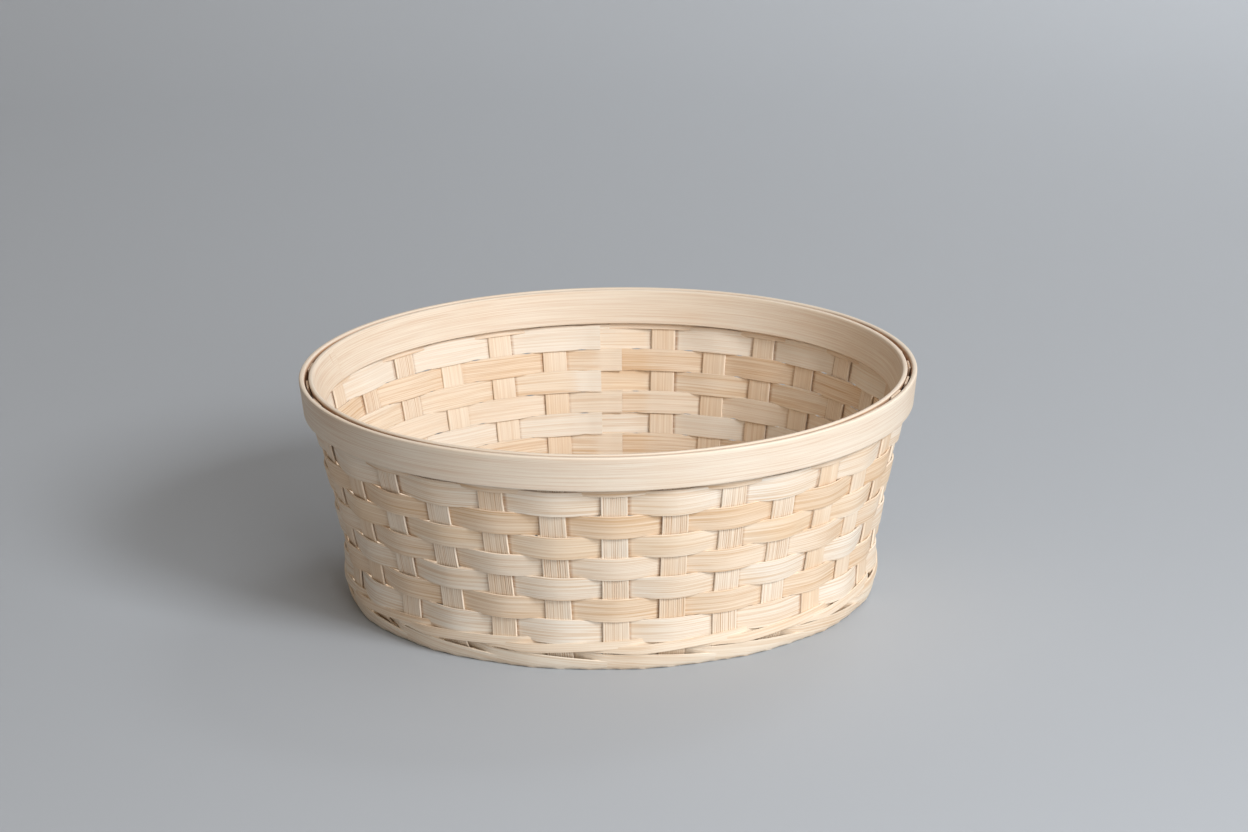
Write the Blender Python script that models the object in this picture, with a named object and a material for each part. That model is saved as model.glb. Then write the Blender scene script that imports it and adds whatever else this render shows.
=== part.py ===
"""Open round basket woven from flat wood splints. Metres, +Z up.

The origin is the middle of the underside, on the surface the basket stands on, and the front is -Y.
Uprights run down the wall, across the base in a plaited square and up the other side. Weavers go round
the wall over and under them, two pairs of narrow strands bind the foot, and two bent hoops hold the rim.
"""

import bisect
import math

import bmesh
import bpy
from mathutils import Vector

MM = 0.001

# Overall sizes
RIM_DIAMETER = 240.0 * MM  # outside the outer hoop, at its top edge
BASKET_HEIGHT = 87.7 * MM
FOOT_DIAMETER = 206.2 * MM  # across the uprights' middle surface, just above the base corner
CORNER_RADIUS = 8.0 * MM  # uprights' middle surface, where the base turns up into the wall
LEAN_START = 21.0 * MM  # height at which the wall begins to lean out
LEAN_BLEND = 8.0 * MM  # how softly it does so

# Splints
UPRIGHT_WIDTH = 9.8 * MM
UPRIGHT_THICKNESS = 0.8 * MM
WEAVER_THICKNESS = 0.7 * MM
FULL_ROWS = 7
TOP_WEAVER_WIDTH = 5.2 * MM  # the last, narrow row, half hidden by the hoops
UPPER_STRAND_WIDTH = 1.6 * MM
LOWER_STRAND_WIDTH = 3.0 * MM
BASE_WEAVERS = 3
BASE_WEAVER_WIDTH = 3.0 * MM
BASE_WEAVER_PITCH = 4.2 * MM
BASE_MARGIN = 2.0 * MM  # flat base left clear on either side of the base weavers

# Rim hoops
HOOP_HEIGHT = 13.2 * MM
HOOP_THICKNESS = 2.1 * MM
HOOP_FACETS = 72
CORNER_STEPS = 24  # points on the profile round the base corner
WALL_STEPS = 160  # and up the wall
UPRIGHT_RECESS = 1.2 * MM  # uprights' ends below the hoops' top edges

# Clearances
CLEARANCE = 0.3 * MM  # between faces that touch on the real basket
ROW_GAP = 0.3 * MM
EDGE_MARGIN = 0.3 * MM  # a weaver runs flat this far past an upright's edge
FACET_SAG = 0.1 * MM  # how far an upright's straight facets may leave the wall's curve

# How the splints are laid out
SIDE_SPLINTS = 8  # splints side by side in the plaited square, each way
SPLINT_GAP = 2.0 * MM  # between neighbours in the square
HALF_SPLINT = 3  # this cross splint has one end in the base, so the uprights come out odd
UPRIGHTS = 4 * SIDE_SPLINTS - 1
SEAM_UPRIGHT = UPRIGHTS // 2 + 1  # every weaver's ends lap over this one, at the back
DRIFT = math.radians(3.4)  # hand spacing: the uprights drift this far, twice over, at the back
SQUARE_TURN = -(DRIFT + math.radians(2.9))  # turns the square to face the uprights it feeds
STRAND_PERIOD = 4  # a foot strand goes over three uprights and behind the fourth
LOWER_EDGE_ANGLE = math.radians(12.0)  # lowest strand edge, measured round the base corner
LAP_SHORT = 3.3 * MM  # where the top layer of a lap ends, from the seam upright's middle
LAP_LONG = 5.0 * MM
LAP_UNDER = 4.3 * MM  # and where its bottom layer ends, on the other side
HOOP_JOINTS = {"outer_hoop": math.radians(150.0), "inner_hoop": math.radians(-108.0)}

# Worked out from the above
STACK = (UPRIGHT_THICKNESS + WEAVER_THICKNESS) / 2 + CLEARANCE  # upright middle to weaver middle
PLATEAU = UPRIGHT_WIDTH / 2 + EDGE_MARGIN
BASE_LEVEL = WEAVER_THICKNESS + CLEARANCE + UPRIGHT_THICKNESS / 2
CORNER_LEVEL = BASE_LEVEL + CORNER_RADIUS
FOOT_RADIUS = FOOT_DIAMETER / 2
CORNER_START = FOOT_RADIUS - CORNER_RADIUS
SQUARE_PITCH = UPRIGHT_WIDTH + SPLINT_GAP
FAN_END = CORNER_START - BASE_WEAVERS * BASE_WEAVER_PITCH - 2 * BASE_MARGIN
RIM_UPRIGHT_RADIUS = (
    math.sqrt((RIM_DIAMETER / 2 - HOOP_THICKNESS) ** 2 - (UPRIGHT_WIDTH / 2) ** 2)
    - UPRIGHT_THICKNESS / 2
    - CLEARANCE
)


# ---------------------------------------------------------------- wall profile


def lean_reach(z):
    """How far a wall of unit slope has leant out at height z."""
    above = z - LEAN_START
    return (above + math.hypot(above, LEAN_BLEND)) / 2


LEAN = (RIM_UPRIGHT_RADIUS - FOOT_RADIUS) / (lean_reach(BASKET_HEIGHT) - lean_reach(CORNER_LEVEL))


def wall_radius(z):
    """Radius of the uprights' middle surface at height z."""
    return FOOT_RADIUS + LEAN * (lean_reach(z) - lean_reach(CORNER_LEVEL))


def profile_points():
    """(length, radius, height) along an upright's middle, from the base corner's start to the rim."""
    points = [(0.0, CORNER_START, BASE_LEVEL)]
    for step in range(1, CORNER_STEPS + 1):
        angle = math.pi / 2 * step / CORNER_STEPS
        radius = CORNER_START + CORNER_RADIUS * math.sin(angle)
        height = CORNER_LEVEL - CORNER_RADIUS * math.cos(angle)
        points.append((CORNER_RADIUS * angle, radius, height))
    for step in range(1, WALL_STEPS + 1):
        z = CORNER_LEVEL + (BASKET_HEIGHT - CORNER_LEVEL) * step / WALL_STEPS
        length, radius, height = points[-1]
        reach = math.hypot(wall_radius(z) - radius, z - height)
        points.append((length + reach, wall_radius(z), z))
    return points


PROFILE = profile_points()
PROFILE_LENGTHS = [point[0] for point in PROFILE]


def profile(length):
    """Point (radius, height) and unit tangent (radial, upward) at this length along the profile."""
    after = min(max(bisect.bisect_left(PROFILE_LENGTHS, length), 1), len(PROFILE) - 1)
    (l0, r0, z0), (l1, r1, z1) = PROFILE[after - 1], PROFILE[after]
    share = (length - l0) / (l1 - l0)
    run = math.hypot(r1 - r0, z1 - z0)
    return (
        (r0 + (r1 - r0) * share, z0 + (z1 - z0) * share),
        ((r1 - r0) / run, (z1 - z0) / run),
    )


def length_at(z):
    """Length along the profile at height z, on the wall."""
    after = next(n for n, point in enumerate(PROFILE) if point[2] >= z)
    (l0, _, z0), (l1, _, z1) = PROFILE[after - 1], PROFILE[after]
    return l0 + (l1 - l0) * (z - z0) / (z1 - z0)


def bow(start, end):
    """How far the profile's curve stands off the straight line between two lengths."""
    (r0, z0), (r1, z1) = profile(start)[0], profile(end)[0]
    (radius, height), _ = profile((start + end) / 2)
    return abs((r1 - r0) * (z0 - height) - (r0 - radius) * (z1 - z0)) / math.hypot(r1 - r0, z1 - z0)


def bent_lengths(start, end):
    """Lengths from start to just before end, close enough for straight facets to follow the curve."""
    if bow(start, end) < FACET_SAG:
        return [start]
    middle = (start + end) / 2
    return bent_lengths(start, middle) + bent_lengths(middle, end)


# ---------------------------------------------------------------- upright frames


def upright_angle(index):
    """Angle of an upright round the basket, from the front towards +X."""
    even = 2 * math.pi * index / UPRIGHTS
    return even - DRIFT * (1 - math.cos(even))


def outward_at(angle):
    return Vector((math.sin(angle), -math.cos(angle), 0.0))


def around_at(angle):
    return Vector((math.cos(angle), math.sin(angle), 0.0))


def station(angle, length, offset=0.0, side=0.0):
    """Place, up direction and outward direction of a point near the upright at this angle.

    offset is measured out from the upright's middle surface and side along the weavers' way.
    """
    (radius, height), (out, up) = profile(length)
    radial = outward_at(angle)
    rise = radial * out + Vector((0, 0, up))
    normal = radial * up - Vector((0, 0, out))
    place = radial * radius + Vector((0, 0, height)) + normal * offset + around_at(angle) * side
    return place, rise, normal


# ---------------------------------------------------------------- making a piece


def wood(name, colour, roughness):
    """A plain wood material."""
    material = bpy.data.materials.new(name)
    material.use_nodes = True
    shader = material.node_tree.nodes["Principled BSDF"]
    shader.inputs["Base Color"].default_value = (*colour, 1.0)
    shader.inputs["Roughness"].default_value = roughness
    shader.inputs["Metallic"].default_value = 0.0
    return material


def strip(name, stations, width, thickness, material):
    """A flat splint along stations of (place, across, normal), as one closed solid."""
    mesh = bmesh.new()
    rings = []
    for place, across, normal in stations:
        half_width, half_thickness = across * width / 2, normal * thickness / 2
        corners = (
            place + half_width + half_thickness,
            place - half_width + half_thickness,
            place - half_width - half_thickness,
            place + half_width - half_thickness,
        )
        rings.append([mesh.verts.new(corner) for corner in corners])
    for ring, following in zip(rings, rings[1:]):
        for n in range(4):
            mesh.faces.new((ring[n], ring[n - 1], following[n - 1], following[n]))
    mesh.faces.new(rings[0])
    mesh.faces.new(reversed(rings[-1]))
    bmesh.ops.recalc_face_normals(mesh, faces=mesh.faces)
    data = bpy.data.meshes.new(name)
    mesh.to_mesh(data)
    mesh.free()
    data.materials.append(material)
    piece = bpy.data.objects.new(name, data)
    bpy.context.scene.collection.objects.link(piece)
    return piece


# ---------------------------------------------------------------- foot strands

INSIDE_RADIUS = CORNER_RADIUS - STACK
OUTSIDE_RADIUS = CORNER_RADIUS + STACK
LOWER_STEP = (LOWER_STRAND_WIDTH + ROW_GAP) / 2 * CORNER_RADIUS / OUTSIDE_RADIUS
LOWER_END = CORNER_RADIUS * (LOWER_EDGE_ANGLE + LOWER_STRAND_WIDTH / 2 / OUTSIDE_RADIUS)
LOWER_START = LOWER_END + (STRAND_PERIOD - 1) * LOWER_STEP
STRAND_SPLIT = LOWER_START + LOWER_STRAND_WIDTH / 2 * CORNER_RADIUS / INSIDE_RADIUS + ROW_GAP / 2
UPPER_STEP = (UPPER_STRAND_WIDTH + ROW_GAP) / 2
UPPER_START = STRAND_SPLIT + ROW_GAP / 2 + UPPER_STRAND_WIDTH / 2 * CORNER_RADIUS / INSIDE_RADIUS
UPPER_END = UPPER_START + (STRAND_PERIOD - 1) * UPPER_STEP
FOOT_TOP = UPPER_END + UPPER_STRAND_WIDTH / 2


def strand_length(phase, start, end):
    """Height along the profile of a strand that leaves at start and dives at end."""
    phase %= STRAND_PERIOD
    run = STRAND_PERIOD - 1
    if phase < 0.5:
        phase += STRAND_PERIOD
    if phase <= run + 0.5:
        return start + (end - start) * (phase - 0.5) / run
    return end + (start - end) * (phase - run - 0.5)


def foot_strand(name, dive, start, end, width, material):
    """A narrow strand that passes behind every fourth upright, counted from dive."""
    spacing = FOOT_RADIUS * 2 * math.pi / UPRIGHTS
    stations = []
    for index in range(SEAM_UPRIGHT - UPRIGHTS, SEAM_UPRIGHT + 1):
        at_start, at_end = index == SEAM_UPRIGHT - UPRIGHTS, index == SEAM_UPRIGHT
        hidden = (index - dive) % STRAND_PERIOD == 0
        offset = -STACK if hidden else STACK
        first = CLEARANCE if at_start else -PLATEAU
        last = -CLEARANCE if at_end else PLATEAU
        if hidden and not at_start:
            stations.append(between(index - 1, index, strand_length(index - 0.5 - dive, start, end)))
        for side in (first, last):
            length = strand_length(index - dive + side / spacing, start, end)
            stations.append(station(upright_angle(index), length, offset, side))
        if hidden and not at_end:
            stations.append(between(index, index + 1, strand_length(index + 0.5 - dive, start, end)))
    return strip(name, stations, width, WEAVER_THICKNESS, material)


def between(index, following, length):
    """A station midway between two uprights, on their middle surface."""
    return station((upright_angle(index) + upright_angle(following)) / 2, length)


def make_foot_strands(material):
    for number, dive in enumerate((-1, 1), start=1):
        name = f"upper_foot_strand_{number}"
        foot_strand(name, dive, UPPER_START, UPPER_END, UPPER_STRAND_WIDTH, material)
        name = f"lower_foot_strand_{number}"
        foot_strand(name, dive, LOWER_START, LOWER_END, LOWER_STRAND_WIDTH, material)


# ---------------------------------------------------------------- wall weavers

ROWS_BOTTOM = FOOT_TOP + ROW_GAP
ROWS_TOP = length_at(BASKET_HEIGHT - HOOP_HEIGHT) - (TOP_WEAVER_WIDTH / 2)
ROW_PITCH = (ROWS_TOP - ROWS_BOTTOM) / FULL_ROWS
WEAVER_WIDTH = ROW_PITCH - ROW_GAP
TOP_ROW_LENGTH = ROWS_TOP + TOP_WEAVER_WIDTH / 2
TOP_ROW_EDGE = ROWS_TOP + TOP_WEAVER_WIDTH


def weaver_stations(row, length, width, lapped):
    """Round the wall from the seam upright to the seam upright again, over one and under one."""
    outside = STACK + bow(length - width / 2, length + width / 2)
    stations = []
    for index in range(SEAM_UPRIGHT - UPRIGHTS, SEAM_UPRIGHT + 1):
        offset = outside if (row + index) % 2 == 0 else -STACK
        first, last = -PLATEAU, PLATEAU
        if index == SEAM_UPRIGHT - UPRIGHTS:
            offset = -STACK - (WEAVER_THICKNESS + CLEARANCE if lapped else 0.0)
            first = (LAP_SHORT if row % 2 else -LAP_LONG) if lapped else CLEARANCE
        if index == SEAM_UPRIGHT:
            offset = -STACK
            last = LAP_UNDER if lapped else -CLEARANCE
        for side in (first, last):
            stations.append(station(upright_angle(index), length, offset, side))
    return stations


def make_weavers(materials):
    for row in range(1, FULL_ROWS + 1):
        length = ROWS_BOTTOM + (row - 0.5) * ROW_PITCH
        stations = weaver_stations(row, length, WEAVER_WIDTH, lapped=True)
        strip(f"weaver_{row}", stations, WEAVER_WIDTH, WEAVER_THICKNESS, materials[row % 2])
    stations = weaver_stations(FULL_ROWS + 1, TOP_ROW_LENGTH, TOP_WEAVER_WIDTH, lapped=False)
    strip("top_weaver", stations, TOP_WEAVER_WIDTH, WEAVER_THICKNESS, materials[0])


# ---------------------------------------------------------------- base weavers


def make_base_weavers(material):
    """Narrow strips round the outer part of the base, over one upright and under the next."""
    for number in range(1, BASE_WEAVERS + 1):
        radius = CORNER_START - BASE_MARGIN - (number - 0.5) * BASE_WEAVER_PITCH
        stations = []
        for index in range(SEAM_UPRIGHT - UPRIGHTS, SEAM_UPRIGHT + 1):
            angle = upright_angle(index)
            level = BASE_LEVEL + (STACK if (number + index) % 2 else -STACK)
            centre = outward_at(angle) * radius + Vector((0, 0, level))
            for side in (-PLATEAU, PLATEAU):
                stations.append((centre + around_at(angle) * side, outward_at(angle), Vector((0, 0, -1))))
        strip(f"base_weaver_{number}", stations, BASE_WEAVER_WIDTH, WEAVER_THICKNESS, material)


# ---------------------------------------------------------------- uprights


def wall_stations(index):
    """From the rim down the wall and round the corner to the base."""
    angle = upright_angle(index)
    top = length_at(BASKET_HEIGHT - UPRIGHT_RECESS)
    corner = CORNER_RADIUS * math.pi / 2
    stations = []
    for length in bent_lengths(top, corner) + bent_lengths(corner, 0.0) + [0.0]:
        place, _, normal = station(angle, length)
        stations.append((place, around_at(angle), normal))
    return stations


def fan_stations(index, line_point, line_way, line_level):
    """From the base corner in along the upright's own radius, then over to its line in the square.

    A splint that leaves the square high comes down only where the fan has opened.
    """
    angle = upright_angle(index)
    outer = outward_at(angle) * FAN_END
    pull = (outer - line_point).length / 3
    bend = (outer, outer - outward_at(angle) * pull, line_point + line_way * pull, line_point)
    stations = []
    for share, level in ((0.0, BASE_LEVEL), (1 / 3, line_level), (2 / 3, line_level)):
        rest = 1 - share
        weights = (rest**3, 3 * rest**2 * share, 3 * rest * share**2, share**3)
        place = sum((p * w for p, w in zip(bend, weights)), Vector())
        slopes = (rest**2, 2 * rest * share, share**2)
        way = sum(((q - p) * w for p, q, w in zip(bend, bend[1:], slopes)), Vector()).normalized()
        across = Vector((0, 0, 1)).cross(-way)
        stations.append((place + Vector((0, 0, level)), across, Vector((0, 0, -1))))
    return stations


def square_stations(line, way, aside, is_cross):
    """Across the plaited square along way, on this line's place along aside.

    The splint rises over every other crossing, where one that crosses it stays low.
    """
    middle = (SIDE_SPLINTS - 1) / 2
    stations = []
    for crossed in range(SIDE_SPLINTS):
        over = (line + crossed) % 2 == (1 if is_cross else 0)
        level = BASE_LEVEL + (UPRIGHT_THICKNESS + CLEARANCE if over else 0.0)
        for side in (-PLATEAU, PLATEAU):
            run = (crossed - middle) * SQUARE_PITCH + side
            place = way * run + aside * (line - middle) * SQUARE_PITCH + Vector((0, 0, level))
            stations.append((place, aside, Vector((0, 0, -1))))
    return stations


def end_stations(index, square_end, way):
    """One end of a splint, from the rim to the square, which it leaves along way."""
    place, aside, _ = square_end
    stations = wall_stations(index) + fan_stations(index, Vector((place.x, place.y, 0.0)), way, place.z)
    return [(at, across if across.dot(aside) > 0 else -across, normal) for at, across, normal in stations]


def splint(name, square, way, near, far, material):
    """One splint: down the wall at upright near, across the base along way, up the wall at upright far.

    Where near is None the splint starts in the base.
    """
    stations = end_stations(near, square[0], -way) if near is not None else []
    stations += square
    stations += reversed(end_stations(far, square[-1], way))
    return strip(name, stations, UPRIGHT_WIDTH, UPRIGHT_THICKNESS, material)


def make_uprights(material):
    """Cross splints run left to right and long splints front to back; their ends are the uprights."""
    right = Vector((math.cos(SQUARE_TURN), math.sin(SQUARE_TURN), 0.0))
    back = Vector((0, 0, 1)).cross(right)
    half = SIDE_SPLINTS // 2
    for line in range(SIDE_SPLINTS):
        square = square_stations(line, right, back, is_cross=True)
        if line == HALF_SPLINT:
            splint("half_cross_splint", square, right, None, half + line, material)
            continue
        left_end = -(half + 1) - line + (1 if line > HALF_SPLINT else 0)
        splint(f"cross_splint_{line + 1}", square, right, left_end, half + line, material)
    for line in range(SIDE_SPLINTS):
        back_end = -(SEAM_UPRIGHT - half) - line
        if back_end < SEAM_UPRIGHT - UPRIGHTS:
            back_end += UPRIGHTS
        square = square_stations(line, back, right, is_cross=False)
        splint(f"long_splint_{line + 1}", square, back, line - half, back_end, material)


# ---------------------------------------------------------------- rim hoops


def hoop(name, radius_at_row, radius_at_top, outer, material):
    """A bent band whose face next to the uprights passes through two radii."""
    (_, row_height), _ = profile(TOP_ROW_EDGE)
    bottom = BASKET_HEIGHT - HOOP_HEIGHT
    slope = (radius_at_top - radius_at_row) / (BASKET_HEIGHT - row_height)
    radius_at_bottom = radius_at_top - slope * HOOP_HEIGHT
    outside_of_facets = 1 / math.cos(math.pi / HOOP_FACETS) if outer else 1.0
    shift = HOOP_THICKNESS / 2 if outer else -HOOP_THICKNESS / 2
    middle_radius = (radius_at_top + radius_at_bottom) / 2 * outside_of_facets + shift
    start = HOOP_JOINTS[name]
    slit = CLEARANCE / middle_radius
    stations = []
    for step in range(HOOP_FACETS + 1):
        angle = start + slit / 2 + (2 * math.pi - slit) * step / HOOP_FACETS
        radial = outward_at(angle)
        place = radial * middle_radius + Vector((0, 0, (bottom + BASKET_HEIGHT) / 2))
        across = Vector((0, 0, 1)) + radial * slope
        stations.append((place, across, radial))
    return strip(name, stations, HOOP_HEIGHT, HOOP_THICKNESS, material)


def make_hoops(material):
    (row_radius, _), (_, row_up) = profile(TOP_ROW_EDGE)
    layers = (UPRIGHT_THICKNESS / 2 + 2 * CLEARANCE + WEAVER_THICKNESS) / row_up
    top_layers = UPRIGHT_THICKNESS / 2 + CLEARANCE
    at_row = math.hypot(row_radius + layers, PLATEAU)
    at_top = math.hypot(RIM_UPRIGHT_RADIUS + top_layers, UPRIGHT_WIDTH / 2)
    hoop("outer_hoop", at_row, at_top, True, material)
    hoop("inner_hoop", row_radius - layers, RIM_UPRIGHT_RADIUS - top_layers, False, material)


# ---------------------------------------------------------------- the basket


def main():
    for obj in list(bpy.data.objects):
        bpy.data.objects.remove(obj)
    upright_wood = wood("upright_wood", (0.72, 0.53, 0.34), 0.62)
    pale_wood = wood("pale_weaver_wood", (0.80, 0.65, 0.45), 0.6)
    tan_wood = wood("tan_weaver_wood", (0.72, 0.50, 0.32), 0.6)
    hoop_wood = wood("hoop_wood", (0.80, 0.64, 0.43), 0.55)
    make_uprights(upright_wood)
    make_base_weavers(pale_wood)
    make_foot_strands(pale_wood)
    make_weavers((tan_wood, pale_wood))
    make_hoops(hoop_wood)


main()
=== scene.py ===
"""Fine visual model of the woven splint basket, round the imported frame.

Every splint, weaver, strand and hoop is remade as a smooth mesh with rounded edges and its own wood
grain. The layout repeats the CAD model's rules: the same uprights, rows, laps and hoops. Metres, +Z up,
front at -Y.
"""

import math

import bpy
import numpy as np
from mathutils import Matrix, Vector


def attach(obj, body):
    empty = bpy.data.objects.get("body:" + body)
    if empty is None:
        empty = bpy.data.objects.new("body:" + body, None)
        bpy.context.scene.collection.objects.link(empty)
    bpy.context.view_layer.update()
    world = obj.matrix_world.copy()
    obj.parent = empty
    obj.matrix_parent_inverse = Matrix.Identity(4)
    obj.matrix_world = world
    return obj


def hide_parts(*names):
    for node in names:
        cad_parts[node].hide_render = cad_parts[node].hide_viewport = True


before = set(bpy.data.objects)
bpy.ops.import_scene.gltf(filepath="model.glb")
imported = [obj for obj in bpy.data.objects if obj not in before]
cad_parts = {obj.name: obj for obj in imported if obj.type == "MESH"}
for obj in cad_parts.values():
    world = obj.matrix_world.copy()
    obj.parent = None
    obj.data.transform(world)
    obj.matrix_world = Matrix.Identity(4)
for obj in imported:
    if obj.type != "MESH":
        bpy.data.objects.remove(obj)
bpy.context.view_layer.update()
MM = 0.001
rng = np.random.default_rng(31)

# ------------------------------------------------------------ sizes shared with the CAD model
RIM_DIAMETER = 240.0 * MM
BASKET_HEIGHT = 87.7 * MM
FOOT_RADIUS = 103.1 * MM
CORNER_RADIUS = 8.0 * MM
LEAN_START = 21.0 * MM  # height at which the wall begins to lean out
LEAN_BLEND = 8.0 * MM  # how softly it does so
UPRIGHT_WIDTH = 9.8 * MM
UPRIGHT_THICKNESS = 0.8 * MM
WEAVER_THICKNESS = 0.7 * MM
FULL_ROWS = 7
TOP_WEAVER_WIDTH = 5.2 * MM
UPPER_STRAND_WIDTH = 1.6 * MM
LOWER_STRAND_WIDTH = 3.0 * MM
BASE_WEAVERS = 3
BASE_WEAVER_WIDTH = 3.0 * MM
BASE_WEAVER_PITCH = 4.2 * MM
BASE_MARGIN = 2.0 * MM  # flat base left clear on either side of the base weavers
HOOP_HEIGHT = 13.2 * MM
HOOP_THICKNESS = 2.1 * MM
UPRIGHT_RECESS = 1.2 * MM  # the uprights' ends are this far below the hoops' top edges
CLEARANCE = 0.3 * MM
ROW_GAP = 0.3 * MM
SIDE_SPLINTS = 8  # splints side by side in the plaited square, each way
SPLINT_GAP = 2.0 * MM
HALF_SPLINT = 3  # this cross splint has one end in the base, so the uprights come out odd
UPRIGHTS = 31
SEAM = 16  # every weaver's ends lap over this upright, at the back
DRIFT = math.radians(3.4)  # hand spacing: the uprights drift this far, twice over, at the back
SQUARE_TURN = -(DRIFT + math.radians(2.9))  # turns the square to face the uprights it feeds
STRAND_PERIOD = 4  # a foot strand goes over three uprights and behind the fourth
LOWER_EDGE_ANGLE = math.radians(12.0)  # lowest strand edge, measured round the base corner
# where a lap's top layer ends, in odd and in even rows, and its bottom layer, from the seam upright's middle
LAP_SHORT, LAP_LONG, LAP_UNDER = 3.3 * MM, 5.0 * MM, 4.3 * MM
INNER_JOINT, OUTER_JOINT = math.radians(-108.0), math.radians(150.0)

STACK = (UPRIGHT_THICKNESS + WEAVER_THICKNESS) / 2 + CLEARANCE  # upright middle to weaver middle
PLATEAU = UPRIGHT_WIDTH / 2 + CLEARANCE
BASE_LEVEL = WEAVER_THICKNESS + CLEARANCE + UPRIGHT_THICKNESS / 2
CORNER_LEVEL = BASE_LEVEL + CORNER_RADIUS
CORNER_START = FOOT_RADIUS - CORNER_RADIUS
SQUARE_PITCH = UPRIGHT_WIDTH + SPLINT_GAP
FAN_END = CORNER_START - BASE_WEAVERS * BASE_WEAVER_PITCH - 2 * BASE_MARGIN
RIM_UPRIGHT_RADIUS = (
    math.sqrt((RIM_DIAMETER / 2 - HOOP_THICKNESS) ** 2 - (UPRIGHT_WIDTH / 2) ** 2)
    - UPRIGHT_THICKNESS / 2 - CLEARANCE
)
FIRST, LAST = SEAM - UPRIGHTS, SEAM  # every ring runs from one seam upright's index round to the other's
FOOT_SPACING = FOOT_RADIUS * 2 * math.pi / UPRIGHTS


# ------------------------------------------------------------ wall profile
def lean_reach(z):
    return ((z - LEAN_START) + np.hypot(z - LEAN_START, LEAN_BLEND)) / 2


LEAN = (RIM_UPRIGHT_RADIUS - FOOT_RADIUS) / (lean_reach(BASKET_HEIGHT) - lean_reach(CORNER_LEVEL))


def make_profile():
    """Dense (length, radius, height) along an upright's middle surface."""
    turn = np.linspace(0.0, math.pi / 2, 61)
    r = CORNER_START + CORNER_RADIUS * np.sin(turn)
    z = CORNER_LEVEL - CORNER_RADIUS * np.cos(turn)
    up = np.linspace(CORNER_LEVEL, BASKET_HEIGHT, 321)[1:]
    flat = 30 * MM  # of the base before the corner, where the length is negative
    wall = FOOT_RADIUS + LEAN * (lean_reach(up) - lean_reach(CORNER_LEVEL))
    r = np.concatenate([[CORNER_START - flat], r, wall])
    z = np.concatenate([[BASE_LEVEL], z, up])
    lengths = np.concatenate([[0.0], np.cumsum(np.hypot(np.diff(r), np.diff(z)))]) - flat
    return lengths, r, z


LENGTHS, RADII, HEIGHTS = make_profile()
SLOPE_R, SLOPE_Z = np.gradient(RADII, LENGTHS), np.gradient(HEIGHTS, LENGTHS)


def profile(length):
    """Radius, height and unit tangent (radial, upward) at lengths along the profile."""
    r, z = np.interp(length, LENGTHS, RADII), np.interp(length, LENGTHS, HEIGHTS)
    out, up = np.interp(length, LENGTHS, SLOPE_R), np.interp(length, LENGTHS, SLOPE_Z)
    size = np.hypot(out, up)
    return r, z, out / size, up / size


def length_at(z):
    """Length along the profile where the wall reaches a height."""
    wall = HEIGHTS >= CORNER_LEVEL
    return float(np.interp(z, HEIGHTS[wall], LENGTHS[wall]))


def upright_angle(index):
    """Angle round the basket, 0 at the front. The uprights stand a little closer on the right."""
    even = 2 * math.pi * np.asarray(index, float) / UPRIGHTS
    return even - DRIFT * (1 - np.cos(even))


def upright_spacing(index):
    """Distance between neighbouring uprights round the wall at its foot."""
    return (upright_angle(np.asarray(index) + 0.5) - upright_angle(np.asarray(index) - 0.5)) * FOOT_RADIUS


def past_upright(u):
    """Distance round the wall from the nearest upright's edge, below zero on the upright."""
    return np.abs(u - np.round(u)) * upright_spacing(u) - UPRIGHT_WIDTH / 2


def outward_at(angle):
    """Unit vectors away from the axis."""
    angle = np.asarray(angle, float)
    return np.stack([np.sin(angle), -np.cos(angle), np.zeros_like(angle)], -1)


def around_at(angle):
    """Unit vectors round the basket."""
    angle = np.asarray(angle, float)
    return np.stack([np.cos(angle), np.sin(angle), np.zeros_like(angle)], -1)


def on_wall(angle, length, offset):
    """Points offset outward from the wall's middle surface."""
    angle, length, offset = np.broadcast_arrays(angle, length, offset)
    r, z, out, up = profile(length)
    point = outward_at(angle) * (r + offset * up)[..., None]
    point[..., 2] = z - offset * out
    return point


def smooth(t):
    """Smooth step from 0 to 1."""
    t = np.clip(t, 0.0, 1.0)
    return t * t * (3 - 2 * t)


# ------------------------------------------------------------ row and strand places, as in the CAD model
INSIDE_RADIUS, OUTSIDE_RADIUS = CORNER_RADIUS - STACK, CORNER_RADIUS + STACK
LOWER_STEP = (LOWER_STRAND_WIDTH + ROW_GAP) / 2 * CORNER_RADIUS / OUTSIDE_RADIUS
LOWER_END = CORNER_RADIUS * (LOWER_EDGE_ANGLE + LOWER_STRAND_WIDTH / 2 / OUTSIDE_RADIUS)
LOWER_START = LOWER_END + (STRAND_PERIOD - 1) * LOWER_STEP
STRAND_SPLIT = LOWER_START + LOWER_STRAND_WIDTH / 2 * CORNER_RADIUS / INSIDE_RADIUS + ROW_GAP / 2
UPPER_STEP = (UPPER_STRAND_WIDTH + ROW_GAP) / 2
UPPER_START = STRAND_SPLIT + ROW_GAP / 2 + UPPER_STRAND_WIDTH / 2 * CORNER_RADIUS / INSIDE_RADIUS
UPPER_END = UPPER_START + (STRAND_PERIOD - 1) * UPPER_STEP
FOOT_TOP = UPPER_END + UPPER_STRAND_WIDTH / 2
ROWS_BOTTOM = FOOT_TOP + ROW_GAP
ROWS_TOP = length_at(BASKET_HEIGHT - HOOP_HEIGHT) - TOP_WEAVER_WIDTH / 2
ROW_PITCH = (ROWS_TOP - ROWS_BOTTOM) / FULL_ROWS
TOP_ROW_LENGTH = ROWS_TOP + TOP_WEAVER_WIDTH / 2
TOP_ROW_EDGE = ROWS_TOP + TOP_WEAVER_WIDTH


# ------------------------------------------------------------ making a piece
SEEDS = 50  # each piece's grain starts at a random place up to this
SHARP = math.radians(50)  # edges that bend more are not smoothed
INNER_SEED = 0.61  # how far the inner face's grain is from the outer face's


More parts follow.
